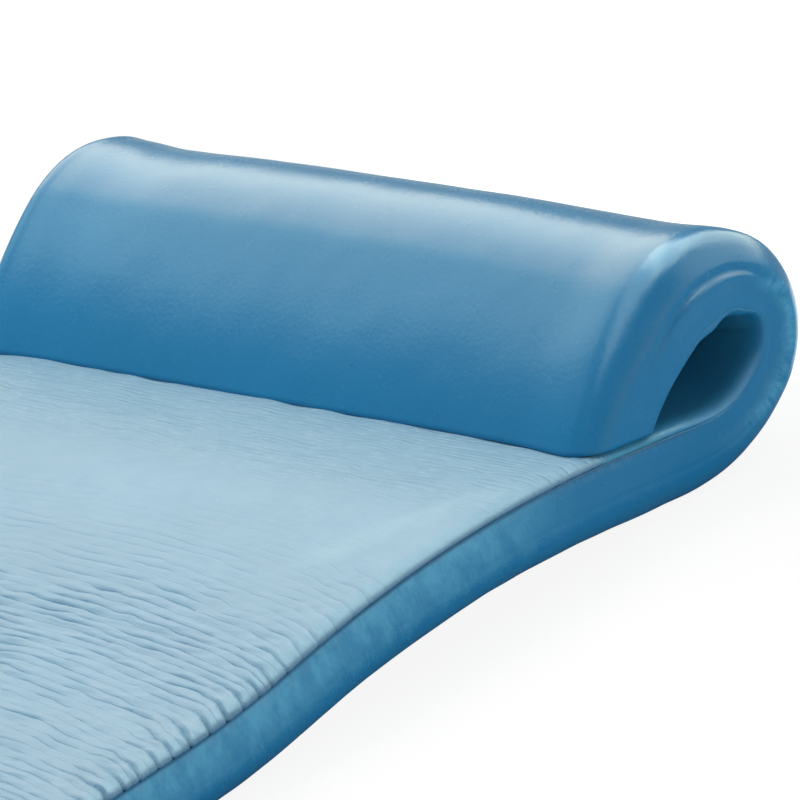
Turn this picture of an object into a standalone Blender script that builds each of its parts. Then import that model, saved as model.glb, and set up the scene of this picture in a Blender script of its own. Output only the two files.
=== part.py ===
"""Foam pool float with a rolled head pillow.

A closed-cell foam slab in a soft vinyl coat. The slab lies flat from its foot, rises over a low hump,
dips to the floor under the head and is curled up, back over and down, until its cut end stands on the
mat, glued there. The curl is the pillow, with a hollow right through its width.

Frame: metres, +Z up, +Y towards the head, X across. The origin is on the floor, under the middle of
the float's box. Every piece is first made flat, in the coordinates (x across, s along the slab from
the foot, n through its thickness from the middle plane), and then laid along the route of the slab.
"""

import functools
import math

import bmesh
import bpy
from mathutils import Vector

for old in list(bpy.data.objects):
    bpy.data.objects.remove(old, do_unlink=True)

# Overall sizes
WIDTH = 0.660
LENGTH = 1.830
THICKNESS = 0.060

# Layers through the thickness
COAT = 0.0012
PLY_BOND = 0.0008
PLY_BOND_INSET = 0.0045
PILLOW_BOND = 0.0010
PILLOW_BOND_INSET = 0.0024
GAP = 0.0003

# Section of the slab's edge: a wide round below, a crowned side, a crease, and a tight bead on top
UNDER_ROUND = 0.024
BEAD_RADIUS = 0.0050
BEAD_INSET = 0.0014
BEAD_LIP_ANGLE = 25.0
CREASE_GAP = 0.0004
SIDE_CROWN_POWER = 2
FOOT_CORNER_RADIUS = 0.055

# Route of the slab from its foot: lengths in metres, headings in degrees above the floor. Each radius
# of the curl is that of the hollow's wall, which is the slab's upper side.
RISE_LENGTH = 0.125
HUMP_LENGTH = 0.323
HUMP_FALL = 8.82
NECK_LENGTH = 0.0475
BELLY_RADIUS = 0.1073
BELLY_END = 35.1
REAR_RADIUS = 0.0163
REAR_END = 139.0
CREST_RADIUS = 0.0366
CREST_END = 211.4
FRONT_RADIUS = 0.2528
FRONT_TURN = 40.0
STEEPEST_RISE = 45.0

# Shape that bending gives the soft slab
MAT_CROWN = 0.0012
MAT_CROWN_POWER = 6
CURL_BULGE = 0.0015
END_FLARE = 0.0026
END_FLARE_REACH = 0.055
CURL_EASE = 0.040
REAR_THINNING = 0.18
THINNING_EASE = 0.080
THINNING_FADE = 0.040
CREST_BUNCHING = 0.15
BUNCHING_EASE = 0.050
BUNCHING_FADE = 0.090
END_TRIM = 0.020

# Fineness of the facets
CORNER_STEPS = 5
UNDER_STEPS = 4
SIDE_STEPS = 3
BEAD_STEPS = 4
INNER_BEAD_STEPS = 3
FOAM_BEAD_STEPS = 2
FLARE_STEPS = 2
FACET_SAG = 0.00045
SHORTEST_STRIP = 0.002
SHARP_ANGLE = 35.0

# Exactness of what is found by halving and by cutting
HALVINGS = 40
CUT_TOLERANCE = 1e-7

HALF = THICKNESS / 2
SIDE = WIDTH / 2
FLARE_START = SIDE - UNDER_ROUND - END_FLARE_REACH


def smooth(value):
    """0 below 0, 1 above 1, with an even ease between."""
    t = min(max(value, 0.0), 1.0)
    return t * t * (3 - 2 * t)


def halving(low, high, before):
    """The place between low and high up to which before holds."""
    for _ in range(HALVINGS):
        middle = (low + high) / 2
        if before(middle):
            low = middle
        else:
            high = middle
    return low


class Route:
    """The slab's middle plane in side view, as straights and arcs that run on from each other."""

    def __init__(self):
        rise = math.degrees(self.rise())
        self.legs = []
        self.length = 0.0
        self.add("foot", LENGTH, 0.0)
        self.add("rise", RISE_LENGTH, rise)
        self.add("hump", HUMP_LENGTH, -rise - HUMP_FALL)
        self.add("neck", NECK_LENGTH, 0.0)
        self.arc("dip", BELLY_RADIUS, HUMP_FALL)
        self.arc("belly", BELLY_RADIUS, BELLY_END)
        self.arc("rear", REAR_RADIUS, 90 - BELLY_END)
        self.arc("nape", REAR_RADIUS, REAR_END - 90)
        self.arc("crest", CREST_RADIUS, 180 - REAR_END)
        self.arc("brow", CREST_RADIUS, CREST_END - 180)
        self.arc("front", FRONT_RADIUS, FRONT_TURN)
        self.settle()

    @staticmethod
    def rise():
        """How steeply the slab rises off the floor, so that past the hump it just comes down to it."""
        fall = math.radians(HUMP_FALL)
        drop = NECK_LENGTH * math.sin(fall) + (BELLY_RADIUS + HALF) * (1 - math.cos(fall))

        def too_low(rise):
            height = RISE_LENGTH / rise * (1 - math.cos(rise))
            return height + HUMP_LENGTH / (rise + fall) * (math.cos(fall) - math.cos(rise)) < drop

        return halving(0.0, math.radians(STEEPEST_RISE), too_low)

    def add(self, name, length, turn):
        self.legs.append([name, length, math.radians(turn)])

    def arc(self, name, wall_radius, turn):
        self.add(name, (wall_radius + HALF) * math.radians(turn), turn)

    def settle(self):
        """Gives each leg its start, with the foot as long as the overall length asks for."""
        self.place(0.0)
        self.legs[0][1] += LENGTH - self.point(self.start("nape"), -HALF)[0]
        self.place(-LENGTH / 2)

    def place(self, y):
        s = 0.0
        z = HALF
        heading = 0.0
        self.starts = []
        for _, length, turn in self.legs:
            self.starts.append((s, y, z, heading))
            y, z = self.along(y, z, heading, length, turn, length)
            s += length
            heading += turn
        self.length = s

    @staticmethod
    def along(y, z, heading, length, turn, part):
        """The point that lies part of the way along a leg."""
        angle = turn * part / length
        chord = part
        if angle:
            chord = part * math.sin(angle / 2) / (angle / 2)
        return y + chord * math.cos(heading + angle / 2), z + chord * math.sin(heading + angle / 2)

    def start(self, name):
        names = [leg[0] for leg in self.legs]
        return self.starts[names.index(name)][0]

    def point(self, s, n):
        """(y, z) at s along the slab and n off its middle plane, positive on the upper side."""
        index = max(i for i, entry in enumerate(self.starts) if entry[0] <= s or i == 0)
        _, length, turn = self.legs[index]
        start, y, z, heading = self.starts[index]
        y, z = self.along(y, z, heading, length, turn, s - start)
        heading += turn * (s - start) / length
        return y - n * math.sin(heading), z + n * math.cos(heading)

    def stations(self):
        """Where the flat pieces are cut across so that they can bend."""
        cuts = []
        for (_, length, turn), (start, _, _, _) in zip(self.legs[1:], self.starts[1:]):
            count = 1
            if turn:
                outer = length / abs(turn) + HALF
                count = math.ceil(abs(turn) / (2 * math.acos(1 - FACET_SAG / outer)))
            cuts += [start + length * k / count for k in range(count)]
        return cuts


ROUTE = Route()


def curl_share(s):
    """0 on the mat, 1 in the curl of the pillow."""
    begin = ROUTE.start("neck")
    return smooth((s - begin) / (ROUTE.start("belly") + CURL_EASE - begin))


def stretch(s):
    """Foam thins where it is drawn round the rear of the curl, and bunches up behind its crest."""
    dip = ROUTE.start("dip")
    crest = ROUTE.start("crest")
    front = ROUTE.start("front")
    thin = smooth((s - dip) / THINNING_EASE) * smooth((crest - s) / THINNING_FADE)
    thick = smooth((s - crest) / BUNCHING_EASE) * smooth((front + BUNCHING_FADE - s) / BUNCHING_FADE)
    return 1 - REAR_THINNING * thin + CREST_BUNCHING * thick


def bent(x, s, n):
    """A point of the flat slab, laid along the route."""
    level = n / HALF
    rise = MAT_CROWN * (1 - abs(x / SIDE) ** MAT_CROWN_POWER)
    n = -HALF + (n + HALF) * stretch(s) * (1 + rise / THICKNESS)
    n += END_FLARE * (1 - smooth((abs(x) - FLARE_START) / END_FLARE_REACH)) * curl_share(s)
    y, z = ROUTE.point(s, n)
    return Vector((x * (1 + CURL_BULGE / SIDE * curl_share(s) * level), y, z))


def under(x, s, n):
    """Where along the mat a point of the curl's end stands, and its height over the mat's top there."""
    end = bent(x, s, n)
    spot = halving(ROUTE.start("rise"), ROUTE.start("belly"), lambda s: bent(x, s, HALF).y < end.y)
    return spot, end.z - bent(x, spot, HALF).z


@functools.lru_cache(maxsize=None)
def end_station(x, n):
    """Where along the curl the slab's cut end comes down to the glue on the mat."""
    clearance = PILLOW_BOND + 2 * GAP
    return halving(ROUTE.start("front"), ROUTE.length, lambda s: under(x, s, n)[1] > clearance)


END = end_station(0.0, 0.0)
TRIM_START = ROUTE.start("front") + END_TRIM


def laid(x, s, n):
    """A point of the flat slab along the route, with the end cut aslant to stand on the mat."""
    if s > TRIM_START:
        share = (s - TRIM_START) / (END - TRIM_START)
        s += share * (end_station(x, n) - END)
    return bent(x, s, n)


def outline(inset):
    """The slab's plan at one level: square at the head, round corners at the foot."""
    half = SIDE - inset
    radius = FOOT_CORNER_RADIUS - inset
    head = END + UNDER_ROUND - inset
    points = [(-half, head), (half, head)]
    for turn in range(CORNER_STEPS + 1):
        angle = math.radians(90) * turn / CORNER_STEPS
        points.append((half - radius + radius * math.cos(angle), inset + radius - radius * math.sin(angle)))
    return points + [(-x, s) for x, s in reversed(points[2:])]


def under_round(depth):
    """(inset, n) round the lower edge, from the underside up to the side, depth inside the skin."""
    radius = UNDER_ROUND - depth
    rings = []
    for k in range(UNDER_STEPS + 1):
        angle = math.radians(90) * k / UNDER_STEPS
        rings.append((UNDER_ROUND - radius * math.sin(angle), -HALF + UNDER_ROUND - radius * math.cos(angle)))
    return rings


def bead(depth, start, steps):
    """(inset, n) round the top edge's bead, up from start. 0 degrees points out, 90 straight up."""
    radius = BEAD_RADIUS - depth
    rings = []
    for k in range(steps + 1):
        angle = math.radians(start + (90 - start) * k / steps)
        inset = BEAD_INSET + BEAD_RADIUS - radius * math.cos(angle)
        rings.append((inset, HALF - BEAD_RADIUS + radius * math.sin(angle)))
    return rings


LIP_INSET, LIP_LEVEL = bead(0.0, -BEAD_LIP_ANGLE, BEAD_STEPS)[0]
CREASE_LEVEL = LIP_LEVEL - CREASE_GAP
ROUND_TOP = -HALF + UNDER_ROUND


def side(depth, bottom):
    """(inset, n) from bottom up the crowned side, which is drawn in to the crease under the bead."""
    rings = []
    for k in range(SIDE_STEPS + 1):
        n = bottom + (CREASE_LEVEL - bottom) * k / SIDE_STEPS
        share = (n - ROUND_TOP) / (CREASE_LEVEL - ROUND_TOP)
        rings.append((depth + LIP_INSET * share ** SIDE_CROWN_POWER, n))
    return rings


def in_collection(name):
    collection = bpy.data.collections.new(name)
    bpy.context.scene.collection.children.link(collection)
    return collection


def material(name, colour, roughness):
    made = bpy.data.materials.new(name)
    made.use_nodes = True
    shader = made.node_tree.nodes["Principled BSDF"]
    shader.inputs["Base Color"].default_value = (*colour, 1)
    shader.inputs["Roughness"].default_value = roughness
    shader.inputs["Metallic"].default_value = 0.0
    return made


def cut(bm, point, normal, beyond=False):
    """Cuts the mesh along a plane, or with beyond cuts away what lies past it and closes the cut."""
    found = bmesh.ops.bisect_plane(
        bm,
        geom=bm.verts[:] + bm.edges[:] + bm.faces[:],
        dist=CUT_TOLERANCE,
        plane_co=point,
        plane_no=normal,
        clear_outer=beyond,
    )
    if beyond:
        edges = [item for item in found["geom_cut"] if isinstance(item, bmesh.types.BMEdge)]
        bmesh.ops.contextual_create(bm, geom=edges)


def flat_piece(rings):
    """A closed piece of the flat slab, lofted through plan outlines at each (inset, n) in turn."""
    bm = bmesh.new()
    loops = []
    for inset, n in rings:
        loops.append([bm.verts.new((x, s, n)) for x, s in outline(inset)])
    for lower, upper in zip(loops, loops[1:]):
        for k in range(len(lower)):
            bm.faces.new((lower[k - 1], lower[k], upper[k], upper[k - 1]))
    bm.faces.new(loops[0])
    bm.faces.new(list(reversed(loops[-1])))
    bmesh.ops.recalc_face_normals(bm, faces=bm.faces)
    cut(bm, (0, END, 0), (0, 1, 0), beyond=True)
    return bm


def cross_cuts(bm):
    """Cuts across at every station of the route, and lengthwise where the crown and the flare bend."""
    for s in ROUTE.stations():
        if s < END - SHORTEST_STRIP:
            cut(bm, (0, s, 0), (0, 1, 0))
    lines = [0.0, FLARE_START / 2]
    lines += [FLARE_START + END_FLARE_REACH * k / FLARE_STEPS for k in range(FLARE_STEPS + 1)]
    for x in lines:
        for way in {x, -x}:
            cut(bm, (way, 0, 0), (1, 0, 0))


def finish(bm, name, where, look, mapping):
    """Lays the cut flat piece along the route and makes it an object."""
    bmesh.ops.triangulate(bm, faces=[face for face in bm.faces if len(face.verts) > 4])
    for vert in bm.verts:
        vert.co = mapping(*vert.co)
    bmesh.ops.triangulate(bm, faces=bm.faces, quad_method="SHORT_EDGE")
    bmesh.ops.recalc_face_normals(bm, faces=bm.faces)
    mesh = bpy.data.meshes.new(name)
    bm.to_mesh(mesh)
    bm.free()
    mesh.shade_smooth()
    mesh.set_sharp_from_angle(angle=math.radians(SHARP_ANGLE))
    mesh.materials.append(look)
    made = bpy.data.objects.new(name, mesh)
    where.objects.link(made)


def slab_piece(name, where, look, rings):
    bm = flat_piece(rings)
    cross_cuts(bm)
    finish(bm, name, where, look, laid)


def foam_core(where, look):
    """Two plies of foam, one on the other, inside the coat."""
    inset = COAT + GAP
    joint = PLY_BOND / 2 + GAP
    lower = under_round(inset)
    slab_piece("foam_core_lower", where, look, lower + [side(inset, -joint)[0]])
    upper = side(inset, joint)
    upper.append((LIP_INSET + inset, LIP_LEVEL + COAT))
    slab_piece("foam_core_upper", where, look, upper + bead(inset, 0.0, FOAM_BEAD_STEPS))


def ply_bond(where, look):
    """The film of glue between the plies, which stops short of the foam's edge."""
    rings = [(PLY_BOND_INSET, -PLY_BOND / 2), (PLY_BOND_INSET, PLY_BOND / 2)]
    slab_piece("ply_bond", where, look, rings)


def coat_top(where, look):
    """The coat over the top, down round the bead to its lip over the crease."""
    outside = bead(0.0, -BEAD_LIP_ANGLE, BEAD_STEPS)
    inside = bead(COAT, -BEAD_LIP_ANGLE, INNER_BEAD_STEPS)
    slab_piece("vinyl_coat_top", where, look, outside[::-1] + inside)


def coat_underside(where, look):
    """The coat under the slab and up its sides to the crease."""
    outside = under_round(0.0) + side(0.0, ROUND_TOP)[1:]
    inside = under_round(COAT) + side(COAT, ROUND_TOP)[1:]
    slab_piece("vinyl_coat_underside", where, look, outside + inside[::-1])


def pillow_bond(where, look):
    """The glue under the slab's cut end, a film that follows the mat's top."""
    seam = under(0.0, end_station(0.0, -HALF), -HALF)[0]
    cusp = under(0.0, end_station(0.0, HALF), HALF)[0]
    bm = bmesh.new()
    bmesh.ops.create_cube(bm, size=1)
    size = (WIDTH - 2 * UNDER_ROUND, cusp - seam - 2 * PILLOW_BOND_INSET, PILLOW_BOND)
    centre = (0, (seam + cusp) / 2, HALF + GAP + PILLOW_BOND / 2)
    bmesh.ops.scale(bm, vec=size, verts=bm.verts)
    bmesh.ops.translate(bm, vec=centre, verts=bm.verts)
    cross_cuts(bm)
    finish(bm, "pillow_bond", where, look, bent)


FLOAT = in_collection("foam_pool_float")
FOAM = material("closed_cell_foam", (0.80, 0.83, 0.84), 0.9)
GLUE = material("contact_adhesive", (0.62, 0.55, 0.36), 0.5)
UPPER_VINYL = material("light_blue_vinyl", (0.42, 0.62, 0.72), 0.45)
LOWER_VINYL = material("deep_blue_vinyl", (0.045, 0.19, 0.35), 0.38)

foam_core(FLOAT, FOAM)
ply_bond(FLOAT, GLUE)
coat_top(FLOAT, UPPER_VINYL)
coat_underside(FLOAT, LOWER_VINYL)
pillow_bond(FLOAT, GLUE)
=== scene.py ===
import math

import bmesh
import bpy
import numpy as np
from bpy.props import FloatProperty, FloatVectorProperty, PointerProperty
from mathutils import Matrix, Vector

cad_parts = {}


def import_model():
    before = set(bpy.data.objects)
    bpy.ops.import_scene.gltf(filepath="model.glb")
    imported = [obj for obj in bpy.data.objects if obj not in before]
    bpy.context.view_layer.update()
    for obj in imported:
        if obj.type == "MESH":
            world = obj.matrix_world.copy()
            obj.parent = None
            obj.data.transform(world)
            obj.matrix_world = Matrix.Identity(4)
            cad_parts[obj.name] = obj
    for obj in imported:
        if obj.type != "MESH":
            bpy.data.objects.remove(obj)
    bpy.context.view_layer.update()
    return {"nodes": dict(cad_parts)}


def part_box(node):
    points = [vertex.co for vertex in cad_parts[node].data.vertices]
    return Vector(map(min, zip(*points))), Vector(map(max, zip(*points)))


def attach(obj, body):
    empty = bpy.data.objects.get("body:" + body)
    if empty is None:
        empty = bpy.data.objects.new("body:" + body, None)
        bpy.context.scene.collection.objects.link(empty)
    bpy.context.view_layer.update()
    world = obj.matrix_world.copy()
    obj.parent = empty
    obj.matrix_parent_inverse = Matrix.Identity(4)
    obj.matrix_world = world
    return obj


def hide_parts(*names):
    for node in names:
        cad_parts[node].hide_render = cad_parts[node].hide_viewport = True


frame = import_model()

bl_info = {
    "name": "Foam Pool Float",
    "version": (1, 0, 0),
    "blender": (4, 5, 0),
    "location": "3D View > Sidebar > Pool Float",
    "description": "Dresses the packed model of a foam pool float with a rolled pillow",
    "category": "Mesh",
}

# The slab and its route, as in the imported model: metres, and degrees above the floor. The slab is
# described flat, as (across x, along s from the foot, level n from the middle of its thickness).
# A station is a place along s.
LOW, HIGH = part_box("vinyl_coat_underside")
SIDE = HIGH.x
LENGTH = HIGH.y - LOW.y
THICKNESS = 0.060
HALF = THICKNESS / 2
UNDER_ROUND = 0.024
FOOT_CORNER_RADIUS = 0.055
PLY_LEVEL = -0.003
RISE_LENGTH = 0.125
HUMP_LENGTH = 0.323
HUMP_FALL = 8.82
NECK_LENGTH = 0.0475
BELLY_RADIUS = 0.1073
BELLY_END = 35.1
REAR_RADIUS = 0.0163
REAR_END = 139.0
CREST_RADIUS = 0.0366
CREST_END = 211.4
FRONT_RADIUS = 0.2528
FRONT_TURN = 40.0
STEEPEST_RISE = 45.0
MAT_CROWN = 0.0012
MAT_CROWN_POWER = 6
CURL_BULGE = 0.0015
END_FLARE = 0.0026
END_FLARE_REACH = 0.055
FLARE_START = SIDE - UNDER_ROUND - END_FLARE_REACH
CURL_EASE = 0.040
REAR_THINNING = 0.18
THINNING_EASE = 0.080
THINNING_FADE = 0.040
CREST_BUNCHING = 0.15
BUNCHING_EASE = 0.050
BUNCHING_FADE = 0.090
END_TRIM = 0.020
SEAM_GAP = 0.0003
HALVINGS = 26


def smooth(value):
    """0 below 0, 1 above 1, with an even ease between."""
    t = np.clip(value, 0.0, 1.0)
    return t * t * (3 - 2 * t)


def halving(low, high, before):
    """The place between low and high up to which before holds, for numbers or arrays."""
    for _ in range(HALVINGS):
        middle = (low + high) / 2
        holds = before(middle)
        low, high = np.where(holds, middle, low), np.where(holds, high, middle)
    return low


class Route:
    """The slab's middle plane in side view, as straights and arcs that run on from each other."""

    def __init__(self):
        rise = math.degrees(self.rise())
        legs = [("foot", LENGTH, 0.0), ("rise", RISE_LENGTH, rise)]
        legs += [("hump", HUMP_LENGTH, -rise - HUMP_FALL), ("neck", NECK_LENGTH, 0.0)]
        arcs = [("dip", BELLY_RADIUS, HUMP_FALL), ("belly", BELLY_RADIUS, BELLY_END)]
        arcs += [("rear", REAR_RADIUS, 90 - BELLY_END), ("nape", REAR_RADIUS, REAR_END - 90)]
        arcs += [("crest", CREST_RADIUS, 180 - REAR_END), ("brow", CREST_RADIUS, CREST_END - 180)]
        arcs += [("front", FRONT_RADIUS, FRONT_TURN)]
        legs += [(name, (radius + HALF) * math.radians(turn), turn) for name, radius, turn in arcs]
        self.names = [name for name, _, _ in legs]
        self.span = np.array([length for _, length, _ in legs])
        self.turn = np.radians([turn for _, _, turn in legs])
        self.place(0.0)
        self.span[0] += LENGTH - self.point(self.at("nape"), -HALF)[0]
        self.place(-LENGTH / 2)

    @staticmethod
    def rise():
        """How steep the mat gets, so that behind the hump it comes back down to the floor."""
        fall = math.radians(HUMP_FALL)
        drop = NECK_LENGTH * math.sin(fall) + (BELLY_RADIUS + HALF) * (1 - math.cos(fall))

        def too_low(rise):
            height = RISE_LENGTH / rise * (1 - np.cos(rise))
            return height + HUMP_LENGTH / (rise + fall) * (math.cos(fall) - np.cos(rise)) < drop

        return float(halving(0.0, math.radians(STEEPEST_RISE), too_low))

    def place(self, y):
        """Puts the foot at y, and works out where each leg starts."""
        s, z, heading = 0.0, HALF, 0.0
        rows = []
        for span, turn in zip(self.span, self.turn):
            rows.append((s, y, z, heading))
            chord = span * np.sinc(turn / 2 / math.pi)
            y += chord * math.cos(heading + turn / 2)
            z += chord * math.sin(heading + turn / 2)
            s += span
            heading += turn
        self.starts, self.y, self.z, self.heading = np.array(rows).T
        self.length = s

    def at(self, name):
        """The station where a leg starts."""
        return self.starts[self.names.index(name)]

    def point(self, s, n):
        """(y, z) at s along the slab and n off its middle plane, positive on the upper side."""
        leg = np.clip(np.searchsorted(self.starts, s, side="right") - 1, 0, None)
        part = s - self.starts[leg]
        angle = self.turn[leg] * part / self.span[leg]
        chord = part * np.sinc(angle / 2 / math.pi)
        middle = self.heading[leg] + angle / 2
        heading = self.heading[leg] + angle
        y = self.y[leg] + chord * np.cos(middle) - n * np.sin(heading)
        return y, self.z[leg] + chord * np.sin(middle) + n * np.cos(heading)


ROUTE = Route()
RISE, NECK, DIP, BELLY = (ROUTE.at(name) for name in ("rise", "neck", "dip", "belly"))
NAPE, CREST, FRONT = (ROUTE.at(name) for name in ("nape", "crest", "front"))


def past(value, start, rise):
    """0 up to start, easing up to 1 at start + rise."""
    return smooth((value - start) / rise)


def before(value, stop, fall):
    """1 up to stop - fall, easing down to 0 at stop."""
    return smooth((stop - value) / fall)


def between(value, start, rise, stop, fall):
    """1 from start + rise to stop - fall, easing down to 0 at start and at stop."""
    return past(value, start, rise) * before(value, stop, fall)


def ridge(value, middle, width, power=2):
    """1 at the middle, falling off softly on both sides over the width."""
    return np.exp(-((value - middle) / width) ** power)


def curl_share(s):
    """0 on the mat, 1 in the curl of the pillow."""
    return smooth((s - NECK) / (BELLY + CURL_EASE - NECK))


def stretch(s):
    """Foam thins where it is drawn round the rear of the curl, and bunches up behind its crest."""
    thin = between(s, DIP, THINNING_EASE, CREST, THINNING_FADE)
    thick = between(s, CREST, BUNCHING_EASE, FRONT + BUNCHING_FADE, BUNCHING_FADE)
    return 1 - REAR_THINNING * thin + CREST_BUNCHING * thick


def bent(x, s, n):
    """Points of the flat slab, laid along the route."""
    curl = curl_share(s)
    bulge = CURL_BULGE / SIDE * curl * (n / HALF)
    crown = MAT_CROWN * (1 - np.minimum(abs(x / SIDE), 1) ** MAT_CROWN_POWER)
    n = -HALF + (n + HALF) * stretch(s) * (1 + crown / THICKNESS)
    n = n + END_FLARE * (1 - smooth((abs(x) - FLARE_START) / END_FLARE_REACH)) * curl
    y, z = ROUTE.point(s, n)
    return np.stack(np.broadcast_arrays(x * (1 + bulge), y, z), -1)


def over_mat(x, s, n):
    """How high a point of the curl's end stands over the mat's top."""
    end = bent(x, s, n)
    low, high = RISE + 0 * x, BELLY + 0 * x
    spot = halving(low, high, lambda t: bent(x, t, HALF)[..., 1] < end[..., 1])
    return end[..., 2] - bent(x, spot, HALF)[..., 2]


def end_table():
    """Where the slab's end comes down to the mat, over half its width and its whole thickness."""
    widths, levels = np.linspace(0, SIDE, END_COLUMNS), np.linspace(-HALF, HALF, END_ROWS)
    x, n = np.meshgrid(widths, levels, indexing="ij")
    low, high = FRONT + 0 * x, ROUTE.length + 0 * x
    return halving(low, high, lambda s: over_mat(x, s, n) > SEAM_GAP)


# The size of the end's table, and a share that keeps a place in it short of its last row
END_COLUMNS, END_ROWS = 45, 13
ALMOST_ALL = 0.9999
END_S = end_table()
END = float(END_S[0, END_ROWS // 2])
TRIM_START = FRONT + END_TRIM


def end_station(x, n):
    """Where along the curl the slab's end comes down to the mat, read from the table."""
    u = np.clip(abs(x) / SIDE, 0, ALMOST_ALL) * (END_COLUMNS - 1)
    v = np.clip((n + HALF) / THICKNESS, 0, ALMOST_ALL) * (END_ROWS - 1)
    i, j = u.astype(int), v.astype(int)
    u, v = u - i, v - j
    near = END_S[i, j] * (1 - v) + END_S[i, j + 1] * v
    return near * (1 - u) + (END_S[i + 1, j] * (1 - v) + END_S[i + 1, j + 1] * v) * u


def laid(x, s, n):
    """Points of the flat slab along the route, with the end aslant to stand on the mat."""
    share = np.clip((s - TRIM_START) / (END - TRIM_START), 0, None)
    return bent(x, s + share * (end_station(x, n) - END), n)


# After so many swells the random table repeats.
SWELLS = 256


def swell(u, v, seed):
    """Soft random values from -1 to 1 over a plane, about one swell to a unit."""
    table = np.random.default_rng(seed).uniform(-1, 1, (SWELLS, SWELLS))
    i, j = np.floor(u).astype(int), np.floor(v).astype(int)
    fu, fv = smooth(u - i), smooth(v - j)
    i, next_i, j, next_j = i % SWELLS, (i + 1) % SWELLS, j % SWELLS, (j + 1) % SWELLS
    low = table[i, j] * (1 - fu) + table[next_i, j] * fu
    high = table[i, next_j] * (1 - fu) + table[next_i, next_j] * fu
    return low * (1 - fv) + high * fv


def graded(*runs):
    """Stations from (start, end, step) runs that follow on from each other."""
    stations = []
    for start, end, step in runs:
        stations.append(np.linspace(start, end, max(round((end - start) / step), 1) + 1)[:-1])
    return np.append(np.concatenate(stations), runs[-1][1])


class Edge:
    """The section of a skin's edge, from where it leaves the flat to the bottom of the crease."""

    SAMPLES = 161

    def __init__(self, mat, curl):
        self.inset0 = mat[0][0]
        self.facing = math.copysign(1, mat[0][1])
        self.share = np.linspace(0, 1, self.SAMPLES)
        self.sections = []
        for section in (mat, curl):
            steps = np.hypot(*np.diff(section, axis=0).T)
            run = np.append(0, np.cumsum(steps))
            if not self.sections:
                self.length = run[-1]
            inset, level = (np.interp(self.share, run / run[-1], column) for column in section.T)
            self.sections.append((inset, level))

    def at(self, share, curl):
        """(inset, level, outward normal across, outward normal up) at a share of the length."""
        found = []
        for inset, level in self.sections:
            out, up = -self.facing * np.gradient(level), -self.facing * np.gradient(inset)
            size = np.hypot(out, up)
            columns = (inset, level, out / size, up / size)
            found.append([np.interp(share, self.share, column) for column in columns])
        mat, curled = found
        return [a * (1 - curl) + b * curl for a, b in zip(mat, curled)]


def arc(start, end, across, up, centre, steps=16):
    """Points (inset, level) on part of an ellipse: 0 degrees points out of the slab, 90 up."""
    angle = np.radians(np.linspace(start, end, steps + 1))
    return np.stack([centre[0] - across * np.cos(angle), centre[1] + up * np.sin(angle)], 1)


def bead_section(inset, across, drop, lip_across, lip_drop, lip_turn):
    """The top skin's edge: off the flat, round, and in under itself to the crease."""
    top = arc(90, 0, across, drop, (inset + across, HALF - drop))
    lip = arc(0, -lip_turn, lip_across, lip_drop, (inset + lip_across, HALF - drop))
    return np.concatenate([top, lip[1:]])


SIDE_POINTS = 25


def side_section(drawn_in, shoulder, lip_across, lip_rise, lip_turn):
    """The outer skin's edge: round off the underside, up the crowned side, in to the crease."""
    below = arc(-90, 0, UNDER_ROUND, UNDER_ROUND, (UNDER_ROUND, UNDER_ROUND - HALF))
    share = np.linspace(0, 1, SIDE_POINTS)[1:, None]
    low, high = UNDER_ROUND - HALF, HALF - shoulder
    crown = np.concatenate([drawn_in * share ** 2, low + (high - low) * share], 1)
    lip = arc(0, lip_turn, lip_across, lip_rise, (drawn_in + lip_across, high))
    return np.concatenate([below, crown, lip[1:]])


# Each edge has a section on the mat and one in the curl, where the crease closes.
BEAD = Edge(
    bead_section(
        inset=0.0014, across=0.0160, drop=0.0066, lip_across=0.0024, lip_drop=0.0012, lip_turn=78),
    bead_section(
        inset=0.0010, across=0.0164, drop=0.0070, lip_across=0.0001, lip_drop=0.0001, lip_turn=20),
)
FLANK = Edge(
    side_section(
        drawn_in=0.0028, shoulder=0.0091, lip_across=0.0020, lip_rise=0.0019, lip_turn=78),
    side_section(
        drawn_in=0.0010, shoulder=0.0071, lip_across=0.0001, lip_rise=0.0001, lip_turn=20),
)
# Over its last LIP_TAPER a skin's wall thins to LIP_WALL of its thickness. TINY keeps the middle
# of a skin, where the reach is 0, from a division by 0.
LIP_TAPER = 0.004
LIP_WALL = 0.3
TINY = 1e-12


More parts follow.
